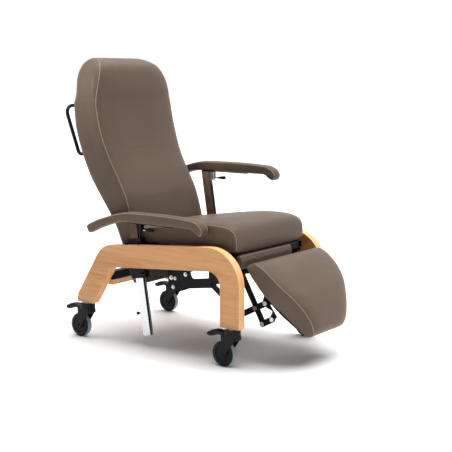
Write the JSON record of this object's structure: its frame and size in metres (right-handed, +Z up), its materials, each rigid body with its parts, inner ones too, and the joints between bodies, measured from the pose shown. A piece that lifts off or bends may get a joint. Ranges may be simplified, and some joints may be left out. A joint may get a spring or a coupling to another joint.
{
  "type": "recliner",
  "caption": "Care recliner chair with beech side frames on braked casters, hinged back, linkage-carried leg rest and armrests that slide on tilted posts.",
  "frame": {"origin": "on the floor, under the middle of the bounding box", "axes": "+Z up, the chair faces -Y, +X is the sitter's left"},
  "size_m": [0.64, 1.2364, 1.178],
  "materials": {
    "beech": "clear satin varnish",
    "black_steel": "satin powder coat",
    "leatherette": "soft matte leatherette",
    "leatherette_back": "soft matte leatherette",
    "plywood": "raw birch plywood",
    "zinc": "bright zinc plate",
    "silver": "satin anodised",
    "black_plastic": "moulded, fine grain",
    "grey_tread": "grey-blue tread"
  },
  "bodies": {
    "chassis": {"side_frame_right": "beech", "side_frame_left": "beech", "rear_wood_rail": "beech", "rear_cross_tube": "black_steel", "front_cross_tube": "black_steel", "middle_cross_tube": "black_steel", "link_plate_right": "black_steel", "link_plate_left": "black_steel", "seat_frame": "black_steel", "seat_board": "plywood", "seat_cushion": "leatherette", "seat_front_panel": "leatherette_back", "post_sleeve_right": "black_steel", "post_sleeve_left": "black_steel", "caster_stems": "zinc", "frame_bolts": "zinc", "back_pivot_pins": "zinc"},
    "back": {"back_frame": "black_steel", "back_board": "plywood", "back_cover": "leatherette_back", "back_cushion": "leatherette", "push_bar": "black_steel"},
    "long_links": {"long_link_right": "black_steel", "long_link_left": "black_steel"},
    "cross_links": {"cross_links": "black_steel"},
    "control_links": {"control_links": "black_steel"},
    "pad_links": {"pad_links": "black_steel"},
    "leg_rest": {"leg_rest_frame": "black_steel", "leg_rest_pad": "leatherette"},
    "spring_cylinder": {"gas_spring_cylinder": "black_steel"},
    "spring_rod": {"gas_spring_rod": "zinc"},
    "arm_right": {"arm_post_right": "silver", "arm_plate_right": "black_steel", "arm_pad_right": "leatherette", "arm_stop_bolt_right": "zinc", "release_cable_right": "black_plastic"},
    "lever_right": {"arm_lever_right": "black_plastic"},
    "arm_left": {"arm_post_left": "silver", "arm_plate_left": "black_steel", "arm_pad_left": "leatherette", "arm_stop_bolt_left": "zinc", "release_cable_left": "black_plastic"},
    "lever_left": {"arm_lever_left": "black_plastic"},
    "fork_front_right": {"caster_fork_front_right": "black_plastic"},
    "wheel_front_right": {"caster_wheel_front_right": "black_plastic", "caster_tyre_front_right": "grey_tread"},
    "pedal_front_right": {"caster_pedal_front_right": "black_plastic"},
    "fork_front_left": {"caster_fork_front_left": "black_plastic"},
    "wheel_front_left": {"caster_wheel_front_left": "black_plastic", "caster_tyre_front_left": "grey_tread"},
    "pedal_front_left": {"caster_pedal_front_left": "black_plastic"},
    "fork_rear_right": {"caster_fork_rear_right": "black_plastic"},
    "wheel_rear_right": {"caster_wheel_rear_right": "black_plastic", "caster_tyre_rear_right": "grey_tread"},
    "pedal_rear_right": {"caster_pedal_rear_right": "black_plastic"},
    "fork_rear_left": {"caster_fork_rear_left": "black_plastic"},
    "wheel_rear_left": {"caster_wheel_rear_left": "black_plastic", "caster_tyre_rear_left": "grey_tread"},
    "pedal_rear_left": {"caster_pedal_rear_left": "black_plastic"}
  },
  "joints": [
    {"name": "back_recline", "type": "hinge", "parent": "chassis", "child": "back", "pos_m": [0, 0.179, 0.415], "axis": [-1, 0, 0], "range_deg": [0, 35]},
    {"name": "leg_rest_lift", "type": "hinge", "parent": "chassis", "child": "long_links", "pos_m": [0, -0.334, 0.352], "axis": [-1, 0, 0], "range_deg": [-8, 60]},
    {"name": "cross_link_turn", "type": "hinge", "parent": "long_links", "child": "cross_links", "pos_m": [0, -0.40604, 0.22386], "axis": [-1, 0, 0], "range_deg": [-60, 8]},
    {"name": "control_link_turn", "type": "hinge", "parent": "chassis", "child": "control_links", "pos_m": [0, -0.265, 0.316], "axis": [-1, 0, 0], "range_deg": [-8, 60]},
    {"name": "pad_link_turn", "type": "hinge", "parent": "long_links", "child": "pad_links", "pos_m": [0, -0.43838, 0.16633], "axis": [-1, 0, 0], "range_deg": [-60, 8]},
    {"name": "leg_rest_turn", "type": "hinge", "parent": "cross_links", "child": "leg_rest", "pos_m": [0, -0.45214, 0.24791], "axis": [-1, 0, 0], "range_deg": [-8, 60]},
    {"name": "spring_swing", "type": "hinge", "parent": "chassis", "child": "spring_cylinder", "pos_m": [0, -0.236, 0.35], "axis": [1, 0, 0], "range_deg": [0, 4]},
    {"name": "spring_stroke", "type": "slide", "parent": "spring_cylinder", "child": "spring_rod", "axis": [0, 0.9987, -0.0506], "range_m": [-0.05, 0]},
    {"name": "arm_right_height", "type": "slide", "parent": "chassis", "child": "arm_right", "axis": [0, 0.1564, 0.9877], "range_m": [0, 0.173]},
    {"name": "arm_left_height", "type": "slide", "parent": "chassis", "child": "arm_left", "axis": [0, 0.1564, 0.9877], "range_m": [-0.173, 0]},
    {"name": "lever_right_press", "type": "hinge", "parent": "arm_right", "child": "lever_right", "pos_m": [0, 0.132, 0.482], "axis": [-1, 0, 0], "range_deg": [0, 12], "stiffness_Nm_per_rad": 0.4},
    {"name": "lever_left_press", "type": "hinge", "parent": "arm_left", "child": "lever_left", "pos_m": [0, 0.15906, 0.65287], "axis": [-1, 0, 0], "range_deg": [0, 12], "stiffness_Nm_per_rad": 0.4},
    {"name": "swivel_front_right", "type": "hinge", "parent": "chassis", "child": "fork_front_right", "pos_m": [-0.289, -0.359, 0.14], "axis": [0, 0, 1], "continuous": true},
    {"name": "roll_front_right", "type": "hinge", "parent": "fork_front_right", "child": "wheel_front_right", "pos_m": [-0.289, -0.319, 0.05], "axis": [1, 0, 0], "continuous": true},
    {"name": "brake_front_right", "type": "hinge", "parent": "fork_front_right", "child": "pedal_front_right", "pos_m": [-0.289, -0.326, 0.128], "axis": [-1, 0, 0], "range_deg": [0, 12], "stiffness_Nm_per_rad": 1.5},
    {"name": "swivel_front_left", "type": "hinge", "parent": "chassis", "child": "fork_front_left", "pos_m": [0.289, -0.359, 0.14], "axis": [0, 0, 1], "continuous": true},
    {"name": "roll_front_left", "type": "hinge", "parent": "fork_front_left", "child": "wheel_front_left", "pos_m": [0.289, -0.319, 0.05], "axis": [1, 0, 0], "continuous": true},
    {"name": "brake_front_left", "type": "hinge", "parent": "fork_front_left", "child": "pedal_front_left", "pos_m": [0.289, -0.326, 0.128], "axis": [-1, 0, 0], "range_deg": [0, 12], "stiffness_Nm_per_rad": 1.5},
    {"name": "swivel_rear_right", "type": "hinge", "parent": "chassis", "child": "fork_rear_right", "pos_m": [-0.289, 0.408, 0.14], "axis": [0, 0, 1], "continuous": true},
    {"name": "roll_rear_right", "type": "hinge", "parent": "fork_rear_right", "child": "wheel_rear_right", "pos_m": [-0.289, 0.448, 0.05], "axis": [1, 0, 0], "continuous": true},
    {"name": "brake_rear_right", "type": "hinge", "parent": "fork_rear_right", "child": "pedal_rear_right", "pos_m": [-0.289, 0.441, 0.128], "axis": [-1, 0, 0], "range_deg": [0, 12], "stiffness_Nm_per_rad": 1.5},
    {"name": "swivel_rear_left", "type": "hinge", "parent": "chassis", "child": "fork_rear_left", "pos_m": [0.289, 0.408, 0.14], "axis": [0, 0, 1], "continuous": true},
    {"name": "roll_rear_left", "type": "hinge", "parent": "fork_rear_left", "child": "wheel_rear_left", "pos_m": [0.289, 0.448, 0.05], "axis": [1, 0, 0], "continuous": true},
    {"name": "brake_rear_left", "type": "hinge", "parent": "fork_rear_left", "child": "pedal_rear_left", "pos_m": [0.289, 0.441, 0.128], "axis": [-1, 0, 0], "range_deg": [0, 12], "stiffness_Nm_per_rad": 1.5}
  ],
  "couplings": [
    {"joint": "cross_link_turn", "follows": "leg_rest_lift", "ratio": -1},
    {"joint": "control_link_turn", "follows": "leg_rest_lift", "ratio": 1},
    {"joint": "pad_link_turn", "follows": "leg_rest_lift", "ratio": -1},
    {"joint": "leg_rest_turn", "follows": "leg_rest_lift", "ratio": 1},
    {"joint": "spring_swing", "follows": "back_recline", "ratio": 0.1014},
    {"joint": "spring_stroke", "follows": "back_recline", "m_per_rad": -0.0769}
  ]
}
